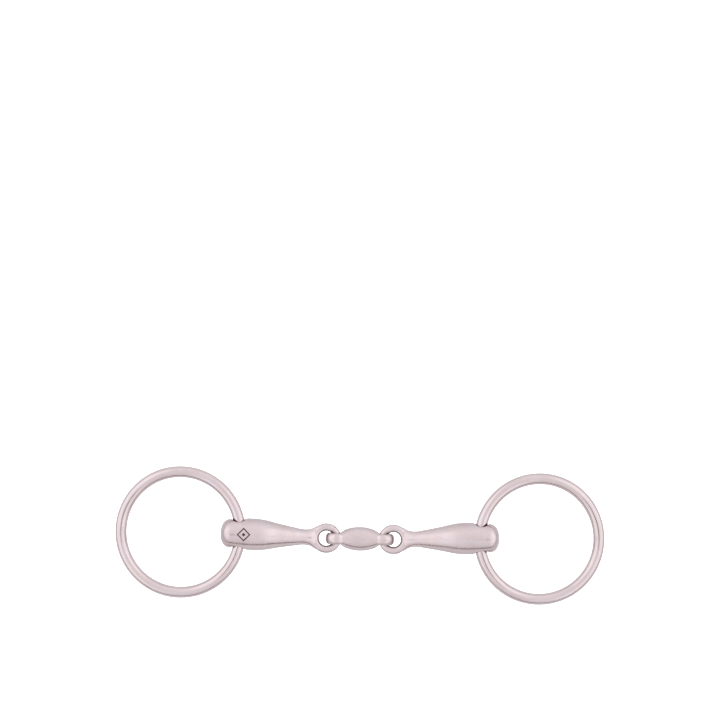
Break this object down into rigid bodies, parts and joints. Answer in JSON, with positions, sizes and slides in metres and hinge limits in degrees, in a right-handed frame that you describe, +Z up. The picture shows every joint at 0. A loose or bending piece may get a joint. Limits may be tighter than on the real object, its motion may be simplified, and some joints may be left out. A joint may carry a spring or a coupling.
{
  "type": "loose-ring snaffle bit",
  "caption": "Double-jointed loose-ring snaffle: two tapered cannons linked by an olive-shaped lozenge, with a round wire ring running through each outer end.",
  "frame": {"origin": "on the surface that the bit lies on, at the middle of its footprint, midway between the rings", "axes": "+X along the mouthpiece, +Y the way that the cannons bend a little as the bit lies, +Z up from the surface, across the flat of the rings"},
  "size_m": [0.2604, 0.07, 0.0172],
  "materials": {
    "polished_steel": "polished stainless steel with fine handling marks"
  },
  "bodies": {
    "centre_link": {"lozenge": "polished_steel"},
    "left_arm": {"left_cannon": "polished_steel"},
    "right_arm": {"right_cannon": "polished_steel"},
    "left_bit_ring": {"left_ring": "polished_steel"},
    "right_bit_ring": {"right_ring": "polished_steel"}
  },
  "joints": [
    {"name": "left_fold", "type": "hinge", "parent": "centre_link", "child": "left_arm", "pos_m": [-0.0122, -0.00175, 0.0062], "axis": [0, 1, 0], "range_deg": [-45, 45]},
    {"name": "left_ring_swivel", "type": "hinge", "parent": "left_arm", "child": "left_bit_ring", "pos_m": [-0.06445, 0, 0.00893], "axis": [0.0366, 0.9993, -0.0019], "range_deg": [-85, 85]},
    {"name": "right_fold", "type": "hinge", "parent": "centre_link", "child": "right_arm", "pos_m": [0.0122, -0.00175, 0.0062], "axis": [0, -1, 0], "range_deg": [-45, 45]},
    {"name": "right_ring_swivel", "type": "hinge", "parent": "right_arm", "child": "right_bit_ring", "pos_m": [0.06445, 0, 0.00893], "axis": [0.0366, -0.9993, 0.0019], "range_deg": [-85, 85]}
  ]
}
